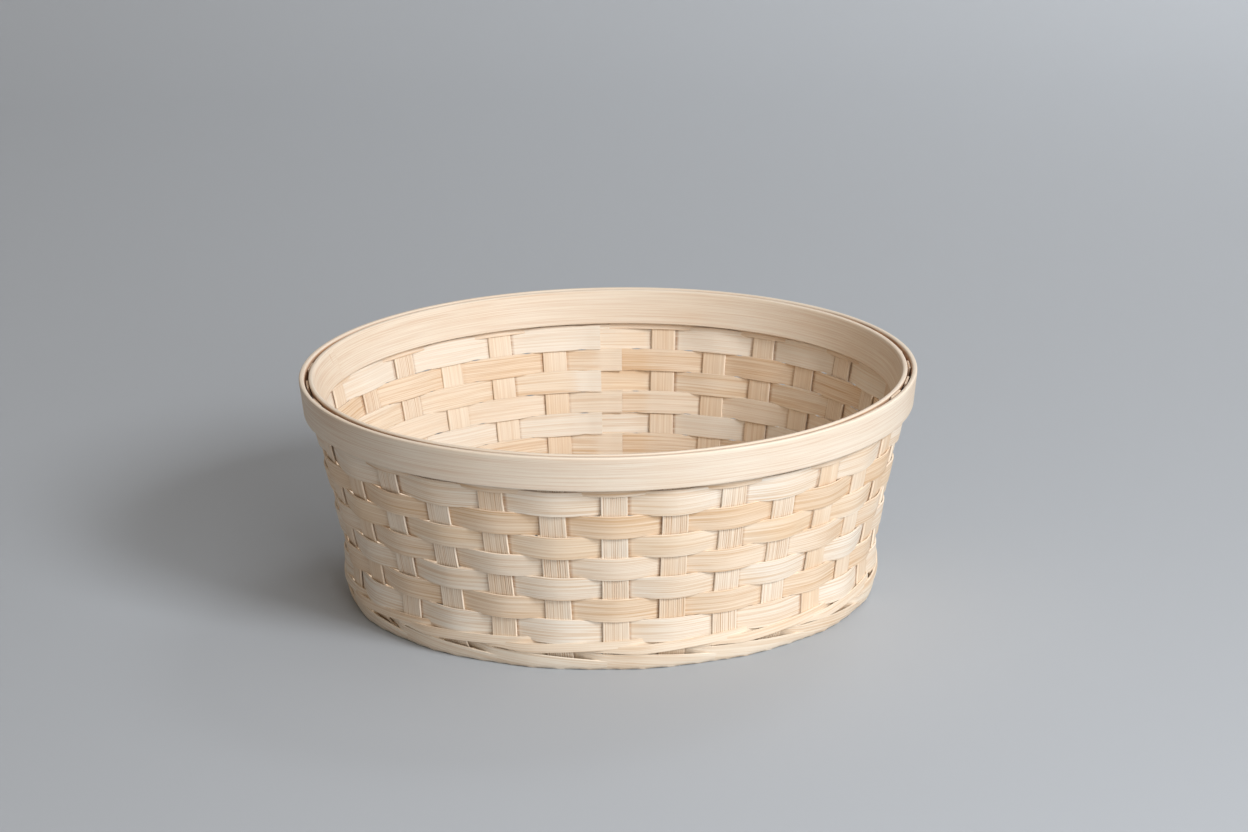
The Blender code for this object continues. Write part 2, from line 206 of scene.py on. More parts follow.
def edge_columns(half_width, count, rounding=0.12 * MM):
    """Places across a strip from -1 to 1, with a close pair at each edge for the rounding."""
    inset = 1 - rounding / half_width
    return np.concatenate([[-1.0], np.linspace(-inset, inset, count), [1.0]])


def both_faces(shape, outer, inner=None):
    """Values per vertex of a strip, from those over its outer face and its inner, or one for both."""
    outer = np.broadcast_to(outer, shape)
    inner = outer if inner is None else np.broadcast_to(inner, shape)
    return np.concatenate([outer, inner[:, ::-1]], 1).ravel()


def add_piece(mesh, node, slot, grain, shade, sharp=None):
    """Put a mesh with its two attributes in the scene, in place of the CAD node.

    grain holds the places along and across the strip and the piece's own seed. shade holds the tone, the
    share of paler cut edge with a painted highlight, and the share of dark groove line, joint line or
    painted shade. Edges that bend by more than the angle sharp are not smoothed.
    """
    for label, values in (("grain", grain), ("shade", shade)):
        layer = mesh.attributes.new(label, "FLOAT_VECTOR", "POINT")
        layer.data.foreach_set("vector", values.astype(np.float32).ravel())
    mesh.materials.append(woods[slot])
    mesh.polygons.foreach_set("use_smooth", np.ones(len(mesh.polygons), bool))
    if sharp is not None:
        mesh.set_sharp_from_angle(angle=sharp)
    piece = bpy.data.objects.new(f"{node}_wood", mesh)
    bpy.context.scene.collection.objects.link(piece)
    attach(piece, "root")
    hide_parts(node)


def build(
    node, slot, mid, thickness, along, across, seed, tone,
    groove=None, edge=0.5, painted_shade_and_joint_line=(0.0, 0.0), inside=-0.34,
):
    """A solid strip round a middle surface mid[ring, column], its edges thinned to a share of the thickness.

    along and across are the grain's own coordinates. groove is how deep each point of the outer face is
    cut. painted_shade_and_joint_line is how dark the outer and the inner face are painted, as shade where
    a weaver or strand goes behind an upright, and inside is what the inner face adds to the tone.
    """
    rings, cols = mid.shape[:2]
    normal = np.cross(np.gradient(mid, axis=0), np.gradient(mid, axis=1))
    normal /= np.linalg.norm(normal, axis=-1, keepdims=True)
    level = np.full(cols, 0.5)
    level[[0, -1]] = 0.5 * edge
    half = level[None, :, None] * thickness
    cut = np.zeros((rings, cols)) if groove is None else groove
    outer = mid + normal * (half - cut[..., None])
    inner = mid - normal * half
    points = np.concatenate([outer, inner[:, ::-1]], 1)
    k = 2 * cols
    index = np.arange(rings * k).reshape(rings, k)
    here, following = index[:-1], index[1:]
    quads = np.stack([here, np.roll(here, -1, 1), np.roll(following, -1, 1), following], -1).reshape(-1, 4)
    loops = quads[:, ::-1].ravel().tolist()
    starts = list(range(0, len(loops), 4))
    totals = [4] * len(starts)
    for cap in (index[0].tolist(), index[-1][::-1].tolist()):
        starts.append(len(loops))
        totals.append(len(cap))
        loops.extend(cap)
    mesh = bpy.data.meshes.new(f"{node}_wood")
    mesh.vertices.add(rings * k)
    mesh.vertices.foreach_set("co", points.astype(np.float32).ravel())
    mesh.loops.add(len(loops))
    mesh.loops.foreach_set("vertex_index", loops)
    mesh.polygons.add(len(starts))
    mesh.polygons.foreach_set("loop_start", starts)
    mesh.polygons.foreach_set("loop_total", totals)
    mesh.update(calc_edges=True)
    mesh.validate()

    shape = (rings, cols)
    # the edge columns: a paler cut edge with a painted highlight
    rim = np.zeros(cols)
    rim[[0, -1]] = 1.0
    seeds = seed + both_faces(shape, 0.0, INNER_SEED)
    grain = np.stack([both_faces(shape, along), both_faces(shape, across), seeds], -1)
    deepest = max(float(cut.max()), 1e-9)
    # the grooves' depth, and the painted shade where a weaver or strand goes behind an upright
    groove_share = both_faces(shape, np.maximum(cut / deepest, painted_shade_and_joint_line[0]), painted_shade_and_joint_line[1])
    shade = np.stack([both_faces(shape, tone, tone + inside), both_faces(shape, rim), groove_share], -1)
    add_piece(mesh, node, slot, grain, shade, sharp=SHARP)


# ------------------------------------------------------------ wood
def wood(name, pale, tan, line, streak=0.5, lines=0.5, groove=0.0, rough=0.62, deep=None):
    """Grained wood: broad streaks from pale to tan, lines along the grain, paler cut edges with a painted
    highlight, dark lines in the grooves and painted shade.

    streak and lines are the strengths of the streaks and the lines. groove is the strength of the dark
    groove and joint lines and of the painted shade beside the uprights and between the hoops, which take
    the colour deep, or line where deep is not given.
    """
    material = bpy.data.materials.new(name)
    material.use_nodes = True
    tree = material.node_tree
    shader = tree.nodes["Principled BSDF"]

    def node(kind, **values):
        made = tree.nodes.new(kind)
        for key, value in values.items():
            setattr(made, key, value)
        return made

    def plug(socket, value):
        if isinstance(value, bpy.types.NodeSocket):
            tree.links.new(value, socket)
        else:
            socket.default_value = value

    def maths(operation, *inputs, clamp=False):
        made = node("ShaderNodeMath", operation=operation, use_clamp=clamp)
        for socket, value in zip(made.inputs, inputs):
            plug(socket, value)
        return made.outputs[0]

    def mix(share, a, b):
        made = node("ShaderNodeMix", data_type="RGBA")
        for socket, value in zip((made.inputs[0], made.inputs[6], made.inputs[7]), (share, a, b)):
            plug(socket, value)
        return made.outputs[2]

    def split(label):
        made = node("ShaderNodeAttribute", attribute_name=label)
        parts = node("ShaderNodeSeparateXYZ")
        tree.links.new(made.outputs["Vector"], parts.inputs[0])
        return parts.outputs

    def noise(along_scale, across_scale, seed_scale, shift=0.0, detail=2.0, wave=None):
        # the scales are cells per metre, and seed_scale and shift make one noise differ from another
        place = node("ShaderNodeCombineXYZ")
        plug(place.inputs[0], maths("MULTIPLY", along, along_scale))
        sideways = maths("ADD", across, wave) if wave is not None else across
        plug(place.inputs[1], maths("MULTIPLY", sideways, across_scale))
        plug(place.inputs[2], maths("MULTIPLY_ADD", seed, seed_scale, shift))
        made = node("ShaderNodeTexNoise")
        made.inputs["Scale"].default_value = 1.0
        made.inputs["Detail"].default_value = detail
        made.inputs["Roughness"].default_value = 0.6
        tree.links.new(place.outputs[0], made.inputs["Vector"])
        return made.outputs[0]

    def ramp(value, low, high, low_to=0.0, high_to=1.0):
        made = node("ShaderNodeMapRange", interpolation_type="SMOOTHSTEP")
        for socket, given in zip(made.inputs, (value, low, high, low_to, high_to)):
            plug(socket, given)
        return made.outputs[0]

    def brighter(amount):
        return (*[min(c * amount, 0.98) for c in pale], 1.0)

    along, across, seed = split("grain")
    tone, rim, cut = split("shade")
    sway = maths("MULTIPLY_ADD", noise(14.0, 60.0, 5.1, 1.7, 1.0), 1.6 * MM, -0.8 * MM)
    broad = noise(16.0, 430.0, 9.7, 3.1, 3.0, sway)
    medium = noise(15.0, 1500.0, 7.3, 5.9, 2.0, sway)
    narrow = noise(24.0, 3000.0, 6.1, 2.9, 2.0, sway)
    fine = noise(70.0, 4600.0, 3.9, 8.3, 2.0, sway)
    patch = noise(30.0, 40.0, 13.3, 0.4, 1.0)

    # from pale to tan: the piece's tone, its streaks, patches and fine grain
    share = maths("MULTIPLY_ADD", maths("SUBTRACT", broad, 0.5), 1.6 * streak, tone)
    share = maths("MULTIPLY_ADD", maths("SUBTRACT", patch, 0.5), 1.1, share)
    share = maths("MULTIPLY_ADD", maths("SUBTRACT", fine, 0.5), 0.55 * streak, share, clamp=True)
    colour = mix(share, (*pale, 1.0), (*tan, 1.0))
    # the lines: medium ones, stronger where the streaks are tan, and thin ones
    drawn = maths("MULTIPLY", ramp(medium, 0.53, 0.60), ramp(broad, 0.36, 0.6, 0.4, 1.0))
    thin = maths("MULTIPLY", ramp(narrow, 0.51, 0.57), 0.7)
    drawn = maths("MAXIMUM", drawn, thin)
    drawn = maths("MULTIPLY", drawn, ramp(tone, -0.2, 0.3, 0.45, 1.0))  # paler wood has fainter lines
    colour = mix(maths("MULTIPLY", drawn, lines), colour, (*line, 1.0))
    light_line = ramp(medium, 0.47, 0.36)
    colour = mix(maths("MULTIPLY", light_line, 0.30), colour, brighter(1.12))
    # dark lines in the grooves and joints, and painted shade beside the uprights and between the hoops
    if groove:
        depth = maths("MULTIPLY", cut, ramp(noise(40.0, 900.0, 2.2, 4.4, 1.0), 0.25, 0.7, 0.5, 1.0))
        colour = mix(maths("MULTIPLY", depth, groove), colour, (*(deep or line), 1.0))
    # paler cut edges, with a painted highlight on them
    colour = mix(maths("MULTIPLY", rim, 0.55), colour, brighter(1.14))
    tree.links.new(colour, shader.inputs["Base Color"])

    height = maths("MULTIPLY_ADD", fine, 0.55, maths("MULTIPLY", medium, 0.75))
    bump = node("ShaderNodeBump")
    bump.inputs["Strength"].default_value = 0.55
    bump.inputs["Distance"].default_value = 0.12 * MM
    tree.links.new(height, bump.inputs["Height"])
    tree.links.new(bump.outputs[0], shader.inputs["Normal"])
    tree.links.new(ramp(fine, 0.3, 0.75, rough - 0.07, rough + 0.09), shader.inputs["Roughness"])
    shader.inputs["Specular IOR Level"].default_value = 0.28
    return material


# pale, tan and line colours
CREAM, TAN, LINE = (0.81, 0.745, 0.65), (0.745, 0.57, 0.40), (0.62, 0.41, 0.235)
CREVICE_SHADE = (0.34, 0.17, 0.075)  # painted shade beside an upright, where a weaver goes behind it
UPRIGHT_COLOURS = (0.835, 0.755, 0.64), (0.75, 0.57, 0.395), (0.47, 0.25, 0.105)
PALE_WEAVER_COLOURS = CREAM, (0.78, 0.61, 0.43), LINE
TAN_WEAVER_COLOURS = (0.805, 0.70, 0.575), TAN, LINE
STRAND_COLOURS = (0.815, 0.73, 0.61), (0.76, 0.59, 0.425), LINE
# the hoops' line colour also paints their joint lines and the painted shade in the gap between them
HOOP_COLOURS = (0.77, 0.69, 0.58), (0.715, 0.585, 0.45), (0.50, 0.24, 0.10)
woods = {
    "upright_wood": wood("upright_wood", *UPRIGHT_COLOURS, 0.3, 0.2, groove=1.0),
    "pale_weaver_wood": wood("pale_weaver_wood", *PALE_WEAVER_COLOURS, 0.45, 0.62, groove=0.9, deep=CREVICE_SHADE),
    "tan_weaver_wood": wood("tan_weaver_wood", *TAN_WEAVER_COLOURS, 0.6, 0.85, groove=0.9, deep=CREVICE_SHADE),
    "strand_wood": wood("strand_wood", *STRAND_COLOURS, 0.5, 0.6, groove=0.9, deep=CREVICE_SHADE),
    "hoop_wood": wood("hoop_wood", *HOOP_COLOURS, 0.14, 0.3, groove=0.9, rough=0.55),
}

# ------------------------------------------------------------ wall weavers
CROWN_OUT, CROWN_IN = 1.2 * MM, 1.12 * MM  # how far a weaver bows out over an upright, and in behind it
PINCH = 0.34 * MM  # how much each edge draws in midway between uprights, where the rows cross
ROW_TONES = (0.24, 0.66, 0.24, 0.16, 0.80, 0.82, 0.30)  # from the bottom row up, 0 pale to 1 tan
ROW_OVERLAP = 0.46 * MM  # how much wider than the row pitch a weaver is
ROW_EXTRA = {1: 0.2 * MM, FULL_ROWS: 1.1 * MM}  # the first row reaches further down and the last further up
UNEVEN_CROWN, UNEVEN_LIFT, UNEVEN_WIDTH, UNEVEN_TILT = 0.12, 0.14 * MM, 0.07 * MM, 0.10 * MM
CURL_LENGTH, CURL_HEIGHT = 6 * MM, 0.5 * MM  # of a weaver's free end
PALE_LENGTH, PALE_FADE, DARK_FADE = 13 * MM, 9 * MM, 6 * MM  # painted highlight on the free end, and painted shadow on the end under it
WEAVER_STEPS, WEAVER_COLUMNS = 18, 13  # rings for each upright, and points across


def wavy(controls, u, spread=0.0):
    """Smooth curve through one value per upright, from the first control's index."""
    first, values = controls
    t = np.clip(u - first, 0, len(values) - 1 - 1e-9)
    n = t.astype(int)
    share = (1 - np.cos(math.pi * (t - n))) / 2
    share = share + spread * np.sin(2 * math.pi * (t - n))
    return values[n] * (1 - share) + values[n + 1] * share


def uneven(count, limit=1.6):
    return rng.standard_normal(count).clip(-limit, limit)


def weaver(row, centre, width, slot, node, tone, lapped=True, out=CROWN_OUT, inward=CROWN_IN, wander=1.0):
    """A weaver round the wall, in front of every second upright, its ends lapped or butted at the seam."""
    indices = np.arange(FIRST - 1, LAST + 2)
    base, count = indices[0], len(indices)
    offsets = np.where((row + indices) % 2 == 0, out, -inward)
    offsets = offsets * (1 + UNEVEN_CROWN * wander * uneven(count, 1.5))
    offsets[indices <= FIRST] = -STACK - (WEAVER_THICKNESS + CLEARANCE if lapped else 0.0)
    offsets[indices >= LAST] = -STACK
    side_first, side_last = CLEARANCE, -CLEARANCE
    if lapped:
        side_first, side_last = (LAP_SHORT if row % 2 else -LAP_LONG), LAP_UNDER
    start, end = FIRST + side_first / FOOT_SPACING, LAST + side_last / FOOT_SPACING
    u = np.linspace(start, end, UPRIGHTS * WEAVER_STEPS + 1)
    lift = uneven(count) * UNEVEN_LIFT * wander
    grow = uneven(count) * UNEVEN_WIDTH * wander
    tilt = uneven(count) * UNEVEN_TILT * wander
    offset = wavy((base, offsets), u, 0.02)
    paler = 0.0
    if lapped:  # the free end curls a little off the lap
        from_start = (u - start) * FOOT_SPACING
        offset = offset - CURL_HEIGHT * smooth((CURL_LENGTH - from_start) / CURL_LENGTH)
        # a painted highlight where the curled free end catches the light, and a painted shadow on the end
        # under it
        paler = 0.9 * smooth((PALE_LENGTH - from_start) / PALE_FADE)
        paler = paler - 0.4 * smooth((u - LAST) * FOOT_SPACING / DARK_FADE + 3)
    crossing = np.exp(-(((u - np.floor(u) - 0.5) / 0.10) ** 2))  # 1 midway between uprights
    columns = edge_columns(width / 2, WEAVER_COLUMNS)
    half = width / 2 + wavy((base, grow), u) * wander * (1 - crossing) - PINCH * crossing * wander
    across = columns * half[:, None]
    length = (centre + wavy((base, lift), u))[:, None] + across
    lean = wavy((base, tilt), u)[:, None] * columns
    bow = 0.10 * MM * (1 - columns**2)  # a crown across the strip
    mid = on_wall(upright_angle(u)[:, None], length, offset[:, None] + lean + bow)
    along = (u - u[0])[:, None] * FOOT_SPACING
    seed = rng.uniform(0, SEEDS)
    drift = wavy((base, rng.uniform(-0.12, 0.12, count)), u)
    beside = (past_upright(u) - 0.1 * MM) / (0.32 * MM)  # painted shade: a dark line where it goes behind an upright
    painted_shade_and_joint_line = np.exp(-(beside**2))[:, None] * 0.9
    build(
        node, slot, mid, WEAVER_THICKNESS, along, across, seed, (tone + drift - paler)[:, None],
        painted_shade_and_joint_line=(painted_shade_and_joint_line * (offset < 0)[:, None], painted_shade_and_joint_line * (offset > 0)[:, None]),
    )


for row in range(1, FULL_ROWS + 1):
    extra = ROW_EXTRA.get(row, 0.0)
    weaver(
        row, ROWS_BOTTOM + (row - 0.5) * ROW_PITCH + (extra if row > 1 else -extra) / 2,
        ROW_PITCH + ROW_OVERLAP + extra, "pale_weaver_wood" if row % 2 else "tan_weaver_wood",
        f"weaver_{row}", ROW_TONES[row - 1],
    )
weaver(
    FULL_ROWS + 1, TOP_ROW_LENGTH - 0.3 * MM, TOP_WEAVER_WIDTH + 0.5 * MM, "tan_weaver_wood",
    "top_weaver", 0.4, lapped=False, out=STACK, inward=STACK, wander=0.25,
)

# ------------------------------------------------------------ foot strands
# Wider and higher than in the CAD model, so that they lie over one another as in the photo.
UPPER_LOOK_WIDTH, LOWER_LOOK_WIDTH = 3.6 * MM, 6.8 * MM
UPPER_LIFT, LOWER_LIFT = 0.7 * MM, 0.9 * MM
FOOT_BULGE = 2.2 * MM  # how far the lower strands stand out round the corner
FLOOR_CLEARANCE = 0.1 * MM
STRAND_STEPS, STRAND_COLUMNS = 20, 9


def strand(node, dive, start, end, width, tone):
    """A narrow strand over three uprights and behind the fourth.

    It starts narrow under the strand before it and soon lies over that strand's last part.
    """
    strip_ends = FIRST + CLEARANCE / FOOT_SPACING, LAST - CLEARANCE / FOOT_SPACING
    u = np.linspace(*strip_ends, UPRIGHTS * STRAND_STEPS + 1)
    phase = (u - dive - 0.5) % STRAND_PERIOD + 0.5  # 0.5 to 4.5, behind its upright at 4
    run = np.clip((phase - 0.7) / 2.6, 0, 1)
    share = np.where(phase > 3.3, 1 - smooth((phase - 3.62) / 0.76), run)  # of the way from start to end
    # weight is 1 in front of the uprights and 0 behind one: it comes out by 0.8 and goes in from 3.2
    weight = np.where(phase < 3, smooth((phase - 0.28) / 0.5), 1 - smooth((phase - 3.22) / 0.53))
    weight = np.where(phase > 4, smooth((phase - 4.22) / 0.56), weight)
    lift = (1.2 * smooth(run / 0.35) * (1 - run) - 0.2) * MM  # stands off most early in its run
    offset = -STACK + (2 * STACK + lift) * weight
    # narrower at its start, and wider where it is hidden
    trim = 1.3 * MM * (1 - smooth(share / 0.3)) * weight
    half = width / 2 * (1 + 0.3 * smooth(1 - weight / 0.15)) - trim / 2
    rising = 1 if end > start else -1
    length = start + (end - start) * share + rising * trim / 2
    columns = edge_columns(width / 2, STRAND_COLUMNS)
    across = columns * half[:, None]
    reach = length[:, None] + across * CORNER_RADIUS / (CORNER_RADIUS + STACK)
    turn = np.clip(reach / CORNER_RADIUS, 0, math.pi / 2)
    bulge = FOOT_BULGE * np.exp(-(((turn - 0.55) / 0.4) ** 2)) * weight[:, None]
    shelf = offset[:, None] - 0.15 * MM * columns * weight[:, None] + bulge
    # how far out the strand can stand before it reaches the floor
    to_floor = (
        CORNER_LEVEL / np.maximum(np.cos(turn), 0.05)
        - CORNER_RADIUS - WEAVER_THICKNESS / 2 - FLOOR_CLEARANCE
    )
    mid = on_wall(upright_angle(u)[:, None], reach, np.minimum(shelf, to_floor))
    beside = (past_upright(u) - 0.1 * MM) / (0.5 * MM)  # painted shade: a dark line where it goes behind an upright
    painted_shade_and_joint_line = 0.9 * np.exp(-(beside**2)) * (offset < 0.2 * MM)
    build(
        node, "strand_wood", mid, WEAVER_THICKNESS, (u - u[0])[:, None] * FOOT_SPACING, across,
        rng.uniform(0, SEEDS), tone, painted_shade_and_joint_line=(painted_shade_and_joint_line[:, None], 0.0),
    )


for number, dive in enumerate((-1, 1), start=1):
    strand(
        f"upper_foot_strand_{number}", dive, UPPER_START + UPPER_LIFT, UPPER_END + UPPER_LIFT,
        UPPER_LOOK_WIDTH, 0.2 + 0.12 * number,
    )
    strand(
        f"lower_foot_strand_{number}", dive, LOWER_START + LOWER_LIFT, LOWER_END + LOWER_LIFT,
        LOWER_LOOK_WIDTH, 0.3 - 0.1 * number,
    )

# ------------------------------------------------------------ base weavers
BASE_OVERLAP = 0.24  # how far each end passes the seam upright, in uprights
BASE_FLOOR_CLEARANCE = 0.05 * MM
BASE_STEPS, BASE_COLUMNS = 12, 5
for number in range(1, BASE_WEAVERS + 1):
    radius = CORNER_START - BASE_MARGIN - (number - 0.5) * BASE_WEAVER_PITCH
    u = np.linspace(FIRST - BASE_OVERLAP, LAST + BASE_OVERLAP, UPRIGHTS * BASE_STEPS + 1)
    wave = np.clip(1.5 * np.cos(math.pi * u), -1, 1) * (-1 if number % 2 else 1)
    columns = edge_columns(BASE_WEAVER_WIDTH / 2, BASE_COLUMNS)
    ring = radius + columns * BASE_WEAVER_WIDTH / 2
    mid = outward_at(upright_angle(u))[:, None, :] * ring[None, :, None]
    mid[..., 2] = (BASE_LEVEL + (STACK - BASE_FLOOR_CLEARANCE) * wave)[:, None]
    build(
        f"base_weaver_{number}", "strand_wood", mid, WEAVER_THICKNESS,
        (u - u[0])[:, None] * radius * 2 * math.pi / UPRIGHTS, columns * BASE_WEAVER_WIDTH / 2,
        rng.uniform(0, SEEDS), 0.3,
    )

# ------------------------------------------------------------ uprights
RIBS = 12
RIB_DEPTH = 0.2 * MM
RIB_SLOPE = 0.35  # the share of a rib that slopes down to the groove on each side
EDGE_INSET = 0.1 * MM
FLUSH_UPRIGHT, FLUSH_RECESS = 6, 0.1 * MM  # this one's end stands level with the hoops
UPRIGHT_SWAY = 0.16 * MM  # how far the weavers push an upright in and out
CORNER_END = CORNER_RADIUS * math.pi / 2
CORNER_POINTS = np.linspace(0.0, CORNER_END, 15)[:-1]


def wall_end(index):
    """Places and across directions from the rim down the wall, round the corner and in to the fan."""
    angle = float(upright_angle(index))
    top = length_at(BASKET_HEIGHT - (FLUSH_RECESS if index == FLUSH_UPRIGHT else UPRIGHT_RECESS))
    lengths = np.concatenate([CORNER_POINTS, np.linspace(CORNER_END, top, 60)])[::-1]
    rows = (lengths - ROWS_BOTTOM) / ROW_PITCH + 0.5
    sway = -UPRIGHT_SWAY * np.cos(math.pi * (rows + index)) * smooth((lengths - ROWS_BOTTOM) / ROW_PITCH)
    places = on_wall(angle, lengths, sway)
    inward = outward_at(angle) * np.linspace(CORNER_START, FAN_END, 8)[1:, None]
    inward[:, 2] = BASE_LEVEL
    places = np.concatenate([places, inward])
    return places, np.broadcast_to(around_at(angle), places.shape)


def fan(index, line_point, way, level):
    """From the fan's outer end to the splint's line in the plaited square."""
    angle = float(upright_angle(index))
    outer = outward_at(angle) * FAN_END
    pull = np.linalg.norm(outer - line_point) / 3
    bend = np.array([outer, outer - outward_at(angle) * pull, line_point + way * pull, line_point])
    share = np.linspace(0, 1, 18)[1:-1, None]
    rest = 1 - share
    places = (
        bend[0] * rest**3 + 3 * bend[1] * rest**2 * share
        + 3 * bend[2] * rest * share**2 + bend[3] * share**3
    )
    legs = np.diff(bend, axis=0)
    ways = legs[0] * rest**2 + 2 * legs[1] * rest * share + legs[2] * share**2
    ways /= np.linalg.norm(ways, axis=1, keepdims=True)
    across = np.cross(np.array([0, 0, 1.0]), -ways)
    places[:, 2] = BASE_LEVEL + (level - BASE_LEVEL) * smooth(share[:, 0] * 3)
    return places, across


def square(line, way, aside, is_cross):
    """A splint's places across the plaited square, over and under the splints that cross it."""
    middle = (SIDE_SPLINTS - 1) / 2
    x = np.linspace(-middle * SQUARE_PITCH - PLATEAU, middle * SQUARE_PITCH + PLATEAU, SIDE_SPLINTS * 10)
    k = x / SQUARE_PITCH + middle
    near = np.clip(np.round(k), 0, SIDE_SPLINTS - 1)
    over = ((line + near) % 2 == (1 if is_cross else 0)).astype(float)
    gap = 0.5 - PLATEAU / SQUARE_PITCH
    edge_share = np.clip((np.abs(k - near) - (0.5 - gap)) / (2 * gap), 0, 0.5)
    between = (k > 0) & (k < SIDE_SPLINTS - 1)
    step = np.where(between, smooth(edge_share), 0.0)
    high = over * (1 - step) + (1 - over) * step
    level = BASE_LEVEL + (UPRIGHT_THICKNESS + CLEARANCE) * high
    places = way * x[:, None] + aside * ((line - middle) * SQUARE_PITCH)
    places[:, 2] = level
    return places


def rib_columns(half):
    """Places across a splint from -1 to 1, and how deep each is cut: a groove between each two ribs."""
    cuts = np.cumsum(rng.uniform(0.7, 1.3, RIBS))
    cuts = cuts / cuts[-1] * 2 - 1
    starts = np.concatenate([[-1.0], cuts[:-1]])
    inset = EDGE_INSET / half
    columns, depth = [-1.0], [0.0]
    for n, (a, b) in enumerate(zip(starts, cuts)):
        a, b = max(a, -1 + inset), min(b, 1 - inset)
        if n:
            columns.append(a)
            depth.append(rng.uniform(0.35, 1.0))
        flat_from = a + (b - a) * RIB_SLOPE if n else a
        flat_to = a + (b - a) * (1 - RIB_SLOPE) if n < RIBS - 1 else b
        columns += [flat_from, flat_to]
        depth += [0.0, 0.0]
    return np.array(columns + [1.0]), np.array(depth + [0.0])


def splint(node, line, is_cross, near, far, way, aside):
    """A splint across the base whose ends turn up as the uprights near and far.

    At an end without an upright it stops short.
    """
    places = square(line, way, aside, is_cross)
    across = np.broadcast_to(aside, places.shape)
    for end, index in enumerate((near, far)):
        if index is None:
            continue
        point = places[0 if end == 0 else -1]
        flat = np.array([point[0], point[1], 0.0])
        wall, wall_across = wall_end(index)
        bent, bent_across = fan(index, flat, -way if end == 0 else way, point[2])
        part, part_across = np.concatenate([wall, bent]), np.concatenate([wall_across, bent_across])
        turn = np.sign((part_across * aside).sum(-1, keepdims=True))
        part_across = part_across * turn
        if end == 0:
            places, across = np.concatenate([part, places]), np.concatenate([part_across, across])
        else:
            places, across = np.concatenate([places, part[::-1]]), np.concatenate([across, part_across[::-1]])
    half = UPRIGHT_WIDTH / 2
    columns, depth = rib_columns(half)
    mid = places[:, None, :] + across[:, None, :] * (columns * half)[None, :, None]
    steps = np.concatenate([[0.0], np.cumsum(np.linalg.norm(np.diff(places, axis=0), axis=1))])
    fade = 0.75 + 0.25 * np.sin(steps * 160 + rng.uniform(0, 6))  # the grooves get deeper and shallower
    groove = RIB_DEPTH * fade[:, None] * depth
    tone = 0.35 + rng.uniform(-0.22, 0.3)
    build(
        node, "upright_wood", mid, UPRIGHT_THICKNESS, steps[:, None], columns * half,
        rng.uniform(0, SEEDS), tone, groove=groove, edge=0.75, inside=0.22,
    )


right = np.array([math.cos(SQUARE_TURN), math.sin(SQUARE_TURN), 0.0])
back = np.cross(np.array([0, 0, 1.0]), right)
half_side = SIDE_SPLINTS // 2
for line in range(SIDE_SPLINTS):
    if line == HALF_SPLINT:
        splint("half_cross_splint", line, True, None, half_side + line, right, back)
        continue
    left_end = -(half_side + 1) - line + (1 if line > HALF_SPLINT else 0)
    splint(f"cross_splint_{line + 1}", line, True, left_end, half_side + line, right, back)
for line in range(SIDE_SPLINTS):
    back_end = -(SEAM - half_side) - line
    if back_end < FIRST:
        back_end += UPRIGHTS
    splint(f"long_splint_{line + 1}", line, False, line - half_side, back_end, back, right)


# ------------------------------------------------------------ rim hoops
HOOP_SHARES = [
    0.0, 0.006, 0.02, 0.045, 0.12, 0.24, 0.34, 0.44, 0.55, 0.66, 0.76, 0.86, 0.93, 0.965, 0.988, 1.0,
]  # heights of the points across a hoop
BOTTOM_ROUNDING, TOP_ROUNDING = 0.3 * MM, 0.9 * MM
SCARF_CUT, TICK_CUT = 0.25 * MM, 0.35 * MM  # depth of the line at the outer and the inner hoop's joint


